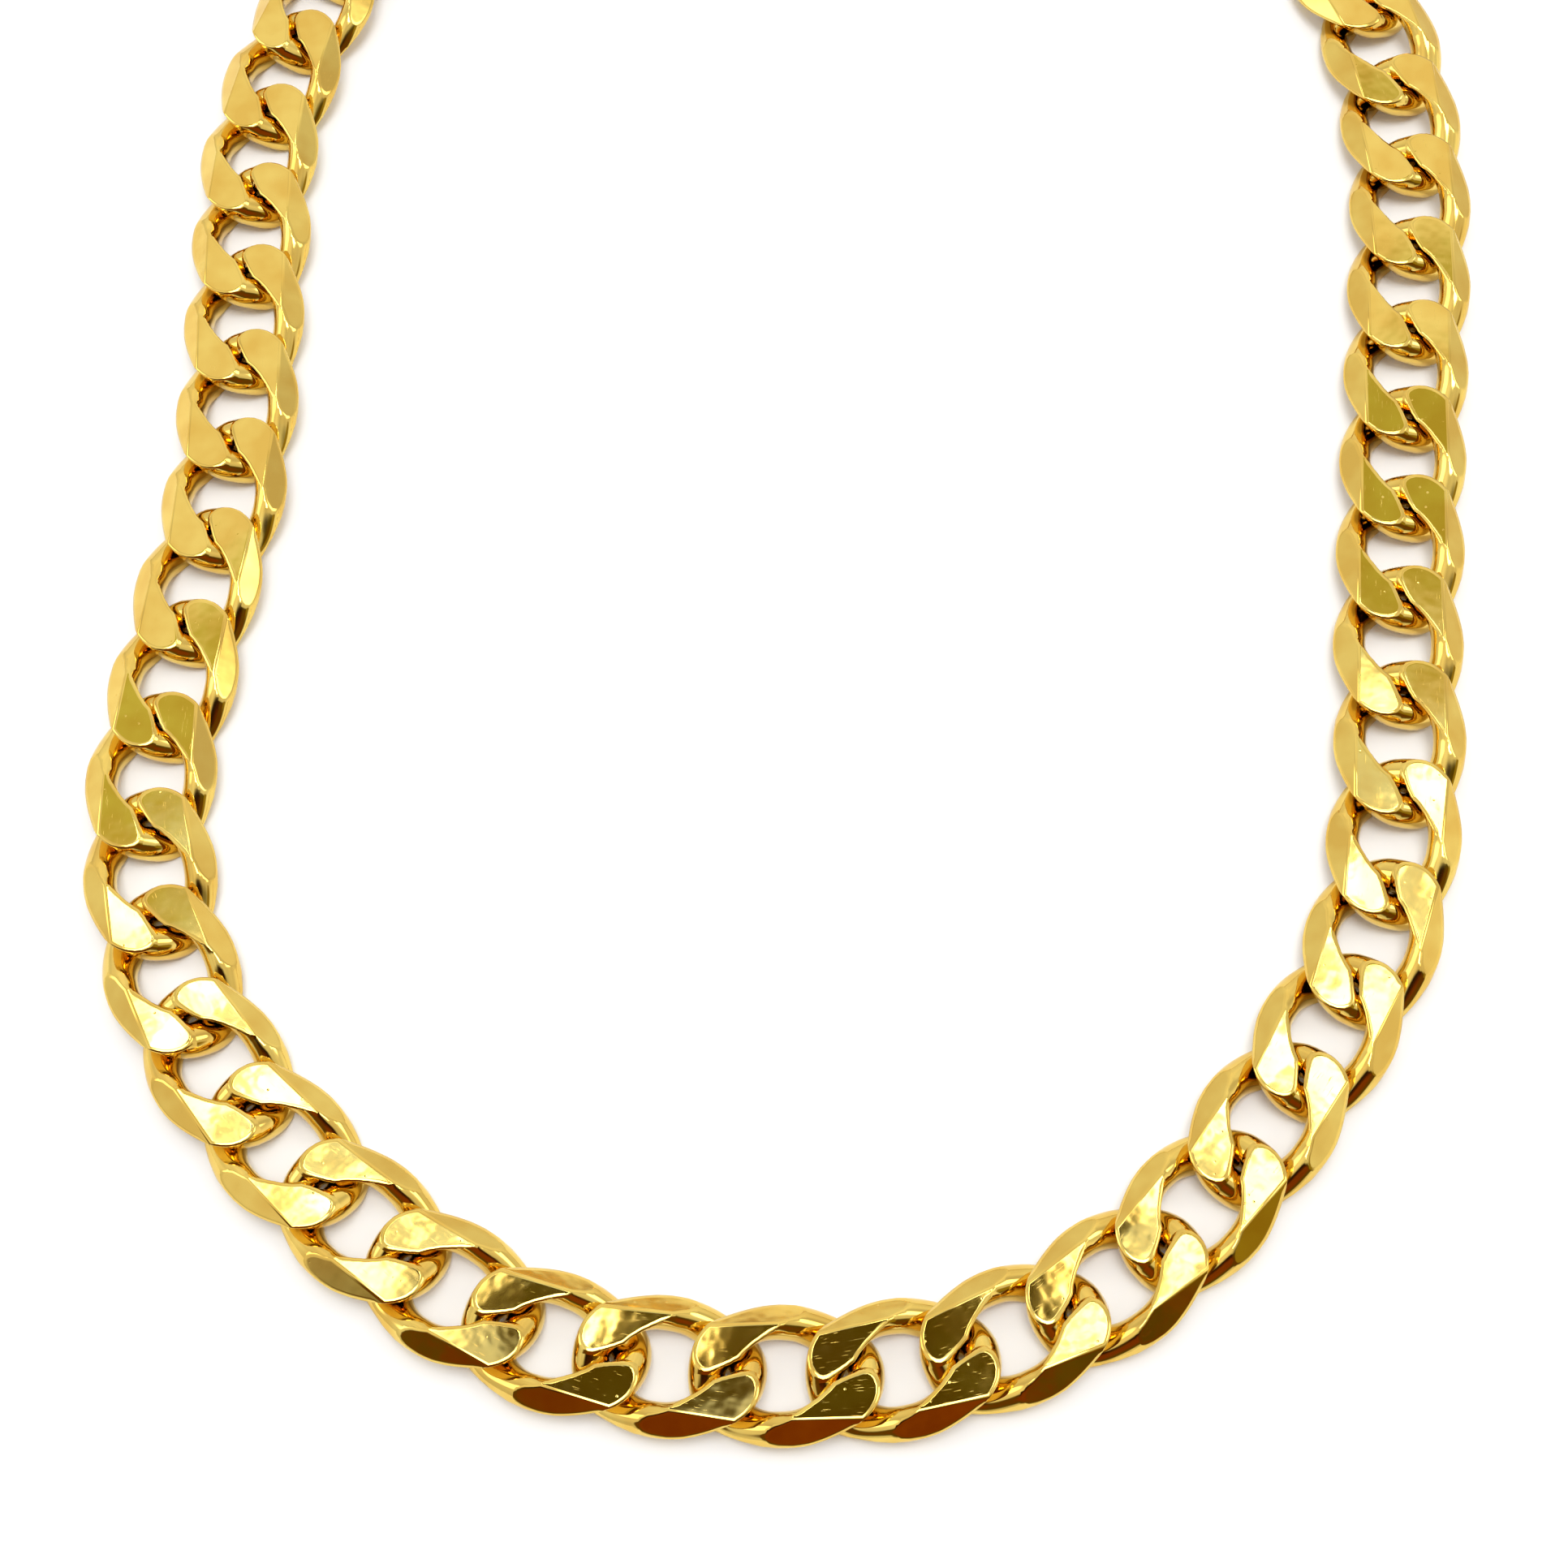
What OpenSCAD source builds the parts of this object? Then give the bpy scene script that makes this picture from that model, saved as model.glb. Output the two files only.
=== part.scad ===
// Curb chain necklace. Flat twisted links interlock in one whole loop, and a plain box
// clasp with a soldered link at each end closes it. The loop lies on z = 0.
// All lengths are millimetres. +Y runs from the front of the loop to the clasp.

/* [Necklace] */
// Length once round the loop, with the clasp
necklace_length = 508; // [400:1:760]
// Thickness of the chain between its two ground faces
chain_thickness = 3.4; // [2.6:0.1:4.4]

/* [Links] */
// Diameter of the wire that each link is bent from
wire_d = 3.1; // [2.4:0.1:3.4]
// Length of the hole in a link, along the chain
hole_length = 10.8; // [10:0.1:13]
// Width of the hole in a link, across the chain
hole_width = 6.2; // [5.6:0.1:8]
// Play along the chain from one link to the next
link_play = 0.6; // [0.4:0.1:1.6]
// Height between the upper and lower wire where two links cross
crossing_gap = 1.1; // [0.8:0.1:1.6]
// How much fuller the wire's inner side is where it crosses the next link
crossing_swell = 0.9; // [0:0.1:1.2]
// Width of the cut bevel on the outer edge of a link
bevel_width = 2.2; // [1:0.1:2.8]
// Height that the bevels leave on the outer edge of a link
edge_height = 0.4; // [0.2:0.1:1.2]
// Squareness of a link's ends: 1 is a true ellipse, and less is fuller
end_fullness = 0.9; // [0.8:0.05:1]

/* [Clasp] */
// Length of the clasp's box
clasp_length = 20; // [16:0.5:30]
// Width of the clasp's box
clasp_width = 11; // [9:0.5:16]
// Depth of the box's faces below the ground faces of the links
clasp_step = 0.2; // [0.1:0.1:0.5]
// Radius of the box's four upright corners
clasp_corner_r = 2; // [0.5:0.1:4]
// Chamfer along the box's long edges
clasp_chamfer = 0.6; // [0.2:0.1:0.7]
// Space between the box and the first link that can turn
clasp_clearance = 0.8; // [0.5:0.1:1.2]

/* [Hidden] */

// Stations along a link's centre line, and sides of its wire
link_stations = 16;
wire_sides = 6;
// Points taken on the route between two of its chosen points
route_steps = 8;

// The loop as it lies, anticlockwise from the clasp: down the left side, round the front
// and up the right side
route = [
    [7.5, 126.5], [-13, 125], [-32, 115.5], [-46, 98.5], [-53, 78], [-54, 58],
    [-54.5, 35.5], [-57.5, 18.5], [-60, -2], [-55, -21.5], [-42, -38], [-24.5, -51],
    [-6, -55.5], [12, -55], [29.5, -47.5], [42, -35], [53, -19], [57.5, -4],
    [59.5, 13], [62, 31.5], [64.5, 49], [66.5, 65.5], [65.5, 84.5], [59, 102.5],
    [46, 117], [28, 125.5]
];

// Sizes of one link, from its hole and its wire
wire_r = wire_d / 2;
link_length = hole_length + 2 * wire_d;
link_width = hole_width + 2 * wire_d;
link_pitch = hole_length - link_play;
// Half length, half width and half height of the centre line of its wire
path_x = link_length / 2 - wire_r;
path_y = link_width / 2 - wire_r;
path_z = wire_r * sin(60) + crossing_gap / 2;
// Half distance between the ridges where the flat meets the bevels, and the bevel's slope
ridge_y = link_width / 2 - bevel_width;
bevel_slope = (chain_thickness - edge_height) / 2 / bevel_width;

clasp_thickness = chain_thickness - 2 * clasp_step;

// Where the clasp's soldered links sit, and how many links the rest of the loop holds
end_link_inset = link_pitch - link_length / 2 - clasp_clearance;
clasp_span = clasp_length - 2 * end_link_inset;
link_count = round((necklace_length - clasp_span) / link_pitch) - 1;
link_step = (necklace_length - clasp_span) / (link_count + 1);
left_count = floor(link_count / 2);

// The link: a wire swept round a twisted oval, ground flat and bevelled

function power_sign(v, e) = sign(v) * pow(abs(v), e);

function path_point(u) = [
    path_x * power_sign(cos(u), end_fullness),
    path_y * power_sign(sin(u), end_fullness),
    -path_z * sin(2 * u)
];

function unit(v) = v / norm(v);

// Half thickness that grinding and bevelling leave at a distance y from the middle
function ground_z(y) =
    let (bevel_drop = max(0, abs(y) - ridge_y) * bevel_slope)
    max(edge_height / 2, chain_thickness / 2 - bevel_drop);

function ground(p) = [p.x, p.y, max(-ground_z(p.y), min(ground_z(p.y), p.z))];

// Reach of the wire's inner side: most where it crosses the next link, least at the ends
function inner_reach(u) = wire_r + crossing_swell * 6.75 * pow(sin(u), 2) * pow(cos(u), 4);

function wire_ring(u) =
    let (
        along = unit(path_point(u + 0.5) - path_point(u - 0.5)),
        outward = unit(cross(along, [0, 0, 1])),
        upward = cross(outward, along)
    )
    [
        for (side = [0 : wire_sides - 1])
            let (
                a = side * 360 / wire_sides,
                reach = a == 180 ? inner_reach(u) : wire_r
            )
            ground(path_point(u) + reach * (cos(a) * outward + sin(a) * upward))
    ];

link_points = [
    for (station = [0 : link_stations - 1])
        each wire_ring(station * 360 / link_stations)
];

function ring_index(station, side) =
    (station % link_stations) * wire_sides + side % wire_sides;

link_faces = [
    for (station = [0 : link_stations - 1], side = [0 : wire_sides - 1])
        let (
            a = ring_index(station, side),
            b = ring_index(station, side + 1),
            c = ring_index(station + 1, side + 1),
            d = ring_index(station + 1, side)
        )
        each [[a, b, c], [a, c, d]]
];

// The route: a smooth closed curve through its points, measured along its length

function route_at(i) = route[(i + len(route)) % len(route)];

function spline(a, b, c, d, t) =
    0.5 * (2 * b + (c - a) * t + (2 * a - 5 * b + 4 * c - d) * t * t
        + (3 * b - a - 3 * c + d) * t * t * t);

trace = [
    for (i = [0 : len(route) - 1], j = [0 : route_steps - 1])
        spline(route_at(i - 1), route_at(i), route_at(i + 1), route_at(i + 2), j / route_steps)
];

function trace_at(i) = trace[i % len(trace)];

trace_run = [
    for (i = 0, run = 0; i <= len(trace); run = run + norm(trace_at(i + 1) - trace_at(i)), i = i + 1)
        run
];

function segment_at(run, low, high) =
    high - low <= 1 ? low
        : let (middle = floor((low + high) / 2))
        run < trace_run[middle] ? segment_at(run, low, middle) : segment_at(run, middle, high);

// The chosen points are scaled so that the loop has its stated length
route_scale = necklace_length / trace_run[len(trace)];

function route_point(length_along) =
    let (
        run = length_along / route_scale,
        i = segment_at(run, 0, len(trace)),
        t = (run - trace_run[i]) / (trace_run[i + 1] - trace_run[i])
    )
    route_scale * (trace_at(i) * (1 - t) + trace_at(i + 1) * t);

// Link centres, from one soldered link of the clasp round to the other
centres = [for (k = [0 : link_count + 1]) route_point(clasp_span / 2 + k * link_step)];

function heading(from, to) = atan2(to.y - from.y, to.x - from.x);

headings = [for (k = [1 : link_count]) heading(centres[k - 1], centres[k + 1])];

clasp_centre = (centres[0] + centres[link_count + 1]) / 2;
clasp_heading = heading(centres[link_count + 1], centres[0]);

// The middle of the loop's outline, which is moved to the origin

function turned(p, angle) =
    [p.x * cos(angle) - p.y * sin(angle), p.x * sin(angle) + p.y * cos(angle)];

clasp_corner = [clasp_length / 2 - clasp_corner_r, clasp_width / 2 - clasp_corner_r];

outline = [
    for (k = [1 : link_count], p = link_points)
        turned(p, headings[k - 1]) + centres[k],
    for (side = [-1, 1], p = link_points)
        turned([p.x + side * clasp_span / 2, p.y], clasp_heading) + clasp_centre,
    for (sx = [-1, 1], sy = [-1, 1], reach = [-1, 1] * clasp_corner_r)
        turned([sx * clasp_corner.x, sy * clasp_corner.y], clasp_heading) + clasp_centre
            + [reach, reach]
];

function middle_of(values) = (min(values) + max(values)) / 2;

loop_middle = [
    middle_of([for (p = outline) p.x]),
    middle_of([for (p = outline) p.y])
];

module lay(centre, angle) {
    place = centre - loop_middle;
    translate([place.x, place.y, chain_thickness / 2])
        rotate([0, 0, angle])
            children();
}

module curb_link() {
    polyhedron(points = link_points, faces = link_faces);
}

module chain(first, last) {
    for (k = [first : last])
        lay(centres[k], headings[k - 1])
            curb_link();
}

module chain_left() {
    color("goldenrod")
        chain(1, left_count);
}

module chain_right() {
    color("goldenrod")
        chain(left_count + 1, link_count);
}

module clasp_plan() {
    straight = [clasp_length - 2 * clasp_corner_r, clasp_width - 2 * clasp_corner_r];
    square([clasp_length, straight.y], center = true);
    square([straight.x, clasp_width], center = true);
    for (sx = [-1, 1], sy = [-1, 1])
        translate([sx * straight.x / 2, sy * straight.y / 2])
            circle(r = clasp_corner_r, $fn = 32);
}

module clasp_section() {
    half = [clasp_width / 2, clasp_thickness / 2];
    inner = [half.x - clasp_chamfer, half.y - clasp_chamfer];
    polygon([
        [-half.x, -inner.y], [-inner.x, -half.y], [inner.x, -half.y], [half.x, -inner.y],
        [half.x, inner.y], [inner.x, half.y], [-inner.x, half.y], [-half.x, inner.y]
    ]);
}

module clasp_box() {
    intersection() {
        translate([0, 0, -clasp_thickness])
            linear_extrude(2 * clasp_thickness)
                clasp_plan();
        rotate([90, 0, 90])
            translate([0, 0, -clasp_length])
                linear_extrude(2 * clasp_length)
                    clasp_section();
    }
}

module clasp() {
    color("goldenrod")
        lay(clasp_centre, clasp_heading) {
            clasp_box();
            for (side = [-1, 1])
                translate([side * clasp_span / 2, 0, 0])
                    curb_link();
        }
}

chain_left();
chain_right();
clasp();
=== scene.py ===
"""Curb chain necklace: the looks of its twisted gold links, built round the frame."""

import itertools
import logging
import math
import random
from dataclasses import dataclass, field
from enum import IntEnum

import bmesh
import bpy
import numpy as np
from mathutils import Matrix, Vector


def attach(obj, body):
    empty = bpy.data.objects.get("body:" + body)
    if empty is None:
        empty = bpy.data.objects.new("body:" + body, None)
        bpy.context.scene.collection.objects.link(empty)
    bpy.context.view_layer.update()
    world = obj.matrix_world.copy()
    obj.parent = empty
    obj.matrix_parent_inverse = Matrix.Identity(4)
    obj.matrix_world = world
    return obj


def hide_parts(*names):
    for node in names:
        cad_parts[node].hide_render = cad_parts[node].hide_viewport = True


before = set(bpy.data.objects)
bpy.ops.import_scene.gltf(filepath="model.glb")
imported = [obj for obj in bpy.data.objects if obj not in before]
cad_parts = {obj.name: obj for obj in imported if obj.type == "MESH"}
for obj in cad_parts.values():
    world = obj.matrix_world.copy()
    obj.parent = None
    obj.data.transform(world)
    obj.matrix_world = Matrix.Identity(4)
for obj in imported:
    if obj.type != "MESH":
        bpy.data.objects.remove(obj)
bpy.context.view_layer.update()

LOG = logging.getLogger("curb_chain_necklace")
MM = 0.001
BODY = "root"
UP = Vector((0.0, 0.0, 1.0))
# Millimetres within which a point counts as lying on a cutting plane.
ON_PLANE = 1e-5
# Values between which most of a noise pattern lies.
NOISE_LOW, NOISE_HIGH = 0.35, 0.65


def linear(code: str) -> tuple[float, float, float, float]:
    """Turns an sRGB hex colour into the linear colour that Blender's sockets take.

    Args:
        code: Six hex digits after a hash sign.

    Returns:
        Linear red, green and blue with an alpha of 1.
    """
    parts = [int(code[i : i + 2], 16) / 255 for i in (1, 3, 5)]
    red, green, blue = (
        c / 12.92 if c <= 0.04045 else ((c + 0.055) / 1.055) ** 2.4 for c in parts
    )
    return red, green, blue, 1.0


def add_node(
    tree: bpy.types.NodeTree,
    kind: str,
    inputs: dict[str | int, object] | None = None,
    **settings: object,
) -> bpy.types.Node:
    """Adds one node with its settings, values and links.

    Args:
        tree: The node tree that gets the node.
        kind: Blender's name of the node's type.
        inputs: What each input takes: a plain value, or an output to link to it.
        **settings: The node's own properties.

    Returns:
        The new node.
    """
    node = tree.nodes.new(kind)
    for name, value in settings.items():
        setattr(node, name, value)
    for socket, value in (inputs or {}).items():
        if isinstance(value, bpy.types.NodeSocket):
            tree.links.new(value, node.inputs[socket])
        else:
            node.inputs[socket].default_value = value
    return node


def add_math(
    tree: bpy.types.NodeTree, operation: str, *values: bpy.types.NodeSocket | float
) -> bpy.types.NodeSocket:
    """Adds one step of arithmetic and returns its output."""
    inputs = dict(enumerate(values))
    return add_node(tree, "ShaderNodeMath", inputs, operation=operation).outputs[0]


def add_noise(
    tree: bpy.types.NodeTree,
    place: bpy.types.NodeSocket,
    scale: float,
    detail: float = 2.0,
    roughness: float = 0.5,
) -> bpy.types.NodeSocket:
    """Adds a cloudy pattern and returns its output.

    Args:
        tree: The node tree.
        place: The point that the pattern is read at.
        scale: Clouds for each unit of the place.
        detail: How many finer layers lie on the clouds.
        roughness: How strong the finer layers are.

    Returns:
        The pattern, about 0.5 on average.
    """
    inputs = {"Vector": place, "Scale": scale, "Detail": detail, "Roughness": roughness}
    return add_node(tree, "ShaderNodeTexNoise", inputs).outputs[0]


def add_range(
    tree: bpy.types.NodeTree,
    value: bpy.types.NodeSocket,
    start: float,
    end: float,
    to: tuple[float, float] = (0.0, 1.0),
    shape: str = "LINEAR",
) -> bpy.types.NodeSocket:
    """Maps one range of values to another, and holds what lies past its ends.

    Args:
        tree: The node tree.
        value: The value to map.
        start: The value that gives the first of the results.
        end: The value that gives the second.
        to: The two results.
        shape: Blender's name for the curve between them.

    Returns:
        The mapped value.
    """
    inputs = {
        "Value": value,
        "From Min": start,
        "From Max": end,
        "To Min": to[0],
        "To Max": to[1],
    }
    node = add_node(tree, "ShaderNodeMapRange", inputs, interpolation_type=shape)
    return node.outputs[0]


def add_mix(
    tree: bpy.types.NodeTree,
    share: bpy.types.NodeSocket,
    under: bpy.types.NodeSocket | tuple[float, ...],
    over: bpy.types.NodeSocket | tuple[float, ...],
) -> bpy.types.NodeSocket:
    """Mixes one colour over another by a share and returns the result."""
    # Several inputs share each name, so they are given by number.
    inputs = {0: share, 6: under, 7: over}
    return add_node(tree, "ShaderNodeMix", inputs, data_type="RGBA").outputs[2]


class Facet(IntEnum):
    """The three surfaces of a link, in the order of a piece's material slots."""

    WIRE = 0
    FLAT = 1
    BEVEL = 2


# The headings of the scratches in degrees, each with the noise value that starts one.
SCRATCH_RUNS = ((12, 0.81), (67, 0.82), (118, 0.81), (155, 0.83))


@dataclass(frozen=True)
class GoldFinish:
    """Polished yellow gold plating, in the state that one way of working leaves it.

    Spacings, lengths, widths, heights, depths and radii are millimetres on the real
    chain. Real scratches are a hundredth or two of a millimetre wide, too fine to show,
    so they are drawn a few times as wide.
    """

    name: str
    colour: str = "#EAC968"
    warm_colour: str = "#E0B756"
    tint_spacing: float = 4.0
    roughness: float = 0.05
    haze_roughness: float = 0.02
    wear_spacing: float = 2.2222
    scratch_roughness: float = 0.0
    scratch_width: float = 0.06
    scratch_length: float = 1.3
    scratch_depth: float = 0.0
    wave_length: float = 3.0
    wave_height: float = 0.0
    pit_spacing: float = 1.4
    pit_depth: float = 0.0
    pit_radius: float = 0.126

    def material(self) -> bpy.types.Material:
        """Builds the finish's material.

        Returns:
            The material, which reads the links' own place from the attribute grain_mm.
        """
        made = bpy.data.materials.new(self.name)
        made.use_nodes = True
        tree = made.node_tree
        tree.nodes.clear()
        grain = add_node(tree, "ShaderNodeAttribute", attribute_name="grain_mm")
        place = grain.outputs["Vector"]
        scratches = self._scratches(tree, place)
        shader = add_node(
            tree,
            "ShaderNodeBsdfPrincipled",
            {
                "Base Color": self._tint(tree, place),
                "Metallic": 1.0,
                "Roughness": self._roughness(tree, place, scratches),
                "Normal": self._relief(tree, place, scratches),
            },
        )
        add_node(tree, "ShaderNodeOutputMaterial", {"Surface": shader.outputs[0]})
        return made

    def _tint(
        self, tree: bpy.types.NodeTree, place: bpy.types.NodeSocket
    ) -> bpy.types.NodeSocket:
        """Lets the gold drift between its two colours."""
        drift = add_noise(tree, place, 1 / self.tint_spacing)
        warmth = add_range(tree, drift, NOISE_LOW, NOISE_HIGH)
        return add_mix(tree, warmth, linear(self.colour), linear(self.warm_colour))

    def _roughness(
        self,
        tree: bpy.types.NodeTree,
        place: bpy.types.NodeSocket,
        scratches: bpy.types.NodeSocket,
    ) -> bpy.types.NodeSocket:
        """Adds the worn patches' haze and the scratches to the polish.

        Args:
            tree: The material's node tree.
            place: The point on the link, in millimetres.
            scratches: 1 in a scratch and 0 between them.

        Returns:
            The roughness.
        """
        wear = add_noise(tree, place, 1 / self.wear_spacing, detail=3.0, roughness=0.6)
        worn = add_range(tree, wear, NOISE_LOW, NOISE_HIGH, to=(0.3, 1.0))
        haze = add_math(tree, "MULTIPLY_ADD", worn, self.haze_roughness, self.roughness)
        marks = add_math(tree, "MULTIPLY", scratches, worn)
        return add_math(tree, "MULTIPLY_ADD", marks, self.scratch_roughness, haze)

    def _relief(
        self,
        tree: bpy.types.NodeTree,
        place: bpy.types.NodeSocket,
        scratches: bpy.types.NodeSocket,
    ) -> bpy.types.NodeSocket:
        """Gives the surface its shallow waves, its small pits and its scratches.

        Args:
            tree: The material's node tree.
            place: The point on the link, in millimetres.
            scratches: 1 in a scratch and 0 between them.

        Returns:
            The surface's direction.
        """
        waves = add_noise(tree, place, 1 / self.wave_length)
        grid = {"Vector": place, "Scale": 1 / self.pit_spacing}
        cells = add_node(tree, "ShaderNodeTexVoronoi", grid)
        rim = self.pit_radius / self.pit_spacing
        pits = add_range(tree, cells.outputs["Distance"], 0.0, rim)
        swell = {"Height": waves, "Distance": self.wave_height * MM}
        facing = add_node(tree, "ShaderNodeBump", swell).outputs[0]
        for height, rise in ((pits, self.pit_depth), (scratches, -self.scratch_depth)):
            bump = {"Height": height, "Distance": rise * MM, "Normal": facing}
            facing = add_node(tree, "ShaderNodeBump", bump).outputs[0]
        return facing

    def _scratches(
        self, tree: bpy.types.NodeTree, place: bpy.types.NodeSocket
    ) -> bpy.types.NodeSocket:
        """Draws sparse fine scratches in a few directions.

        Args:
            tree: The material's node tree.
            place: The point on the link, in millimetres.

        Returns:
            An output that is 1 in a scratch and 0 between them.
        """
        drawn = None
        for turn, threshold in SCRATCH_RUNS:
            turned = add_node(
                tree,
                "ShaderNodeMapping",
                {
                    "Vector": place,
                    # Each direction reads another part of the noise.
                    "Location": (turn * 0.37, turn * 0.11, 0.0),
                    "Rotation": (0.0, 0.0, math.radians(turn)),
                    "Scale": (1 / self.scratch_length, 1 / self.scratch_width, 1.0),
                },
            )
            streaks = add_noise(tree, turned.outputs[0], 1.0, detail=0.0)
            lines = add_range(tree, streaks, threshold, threshold + 0.05)
            if drawn is None:
                drawn = lines
            else:
                drawn = add_math(tree, "MAXIMUM", drawn, lines)
        return drawn


@dataclass
class MeshPart:
    """One closed part in its own frame, in millimetres."""

    points: np.ndarray
    normals: np.ndarray
    faces: list[tuple[int, ...]]
    facets: list[int]


@dataclass
class ShownMesh:
    """Points, faces and normals that are gathered before they become one Blender mesh.

    Points are millimetres in the necklace's frame.
    """

    points: list[np.ndarray] = field(default_factory=list)
    normals: list[np.ndarray] = field(default_factory=list)
    grain: list[np.ndarray] = field(default_factory=list)
    faces: list[tuple[int, ...]] = field(default_factory=list)
    facets: list[int] = field(default_factory=list)
    count: int = 0

    def add(self, part: MeshPart, place: Matrix, shift: Vector) -> None:
        """Adds a part at its place.

        Args:
            part: The part, in its own frame.
            place: Where the part goes, in millimetres.
            shift: Millimetres added to the part's own points, so that it gets scratches
                and clouds of its own.
        """
        turn = np.array(place.to_3x3())
        self.points.append(part.points @ turn.T + np.array(place.translation))
        self.normals.append(part.normals @ turn.T)
        self.grain.append(part.points + np.array(shift))
        self.faces.extend(tuple(i + self.count for i in face) for face in part.faces)
        self.facets.extend(part.facets)
        self.count += len(part.points)

    def build(self, name: str, finishes: list[bpy.types.Material]) -> bpy.types.Object:
        """Makes the object.

        Args:
            name: The piece's name.
            finishes: One material for each facet, in the order of Facet.

        Returns:
            The object, in metres.
        """
        mesh = bpy.data.meshes.new(name)
        points = np.concatenate(self.points) * MM
        mesh.from_pydata(points.tolist(), [], self.faces)
        for finish in finishes:
            mesh.materials.append(finish)
        mesh.polygons.foreach_set("material_index", self.facets)
        grain = mesh.attributes.new("grain_mm", "FLOAT_VECTOR", "POINT")
        grain.data.foreach_set("vector", np.concatenate(self.grain).ravel())
        mesh.shade_smooth()
        normals = np.concatenate(self.normals)
        mesh.normals_split_custom_set_from_vertices(normals.tolist())
        mesh.validate()
        made = bpy.data.objects.new(name, mesh)
        bpy.context.scene.collection.objects.link(made)
        return made


@dataclass(frozen=True)
class Cut:
    """One flat cut on a leaf of a link: metal outside the plane is taken away.

    The side is 1 for the upper side of the link and -1 for the lower one. The leaf is 1
    where y is positive, and -1 where it is negative. The twist lifts one end of each
    leaf and lowers the other, and the flats are ground there. Reaches are millimetres.
    """

    facet: Facet
    point: Vector
    normal: Vector
    side: int
    leaf: int
    reach_across: float = 2.0
    reach_along: float = 1.5

    def meets(self, place: Vector) -> bool:
        """Tells whether the cut works the metal at a place.

        Args:
            place: The place, in the link's own frame.

        Returns:
            True on the cut's own leaf. A flat reaches a little past the link's middle
            both ways, round the end that it grinds.
        """
        across = place.y * self.leaf
        if self.facet is Facet.BEVEL:
            return across > 0
        along = place.x * self.leaf * self.side
        return across > -self.reach_across and along < self.reach_along


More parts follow.
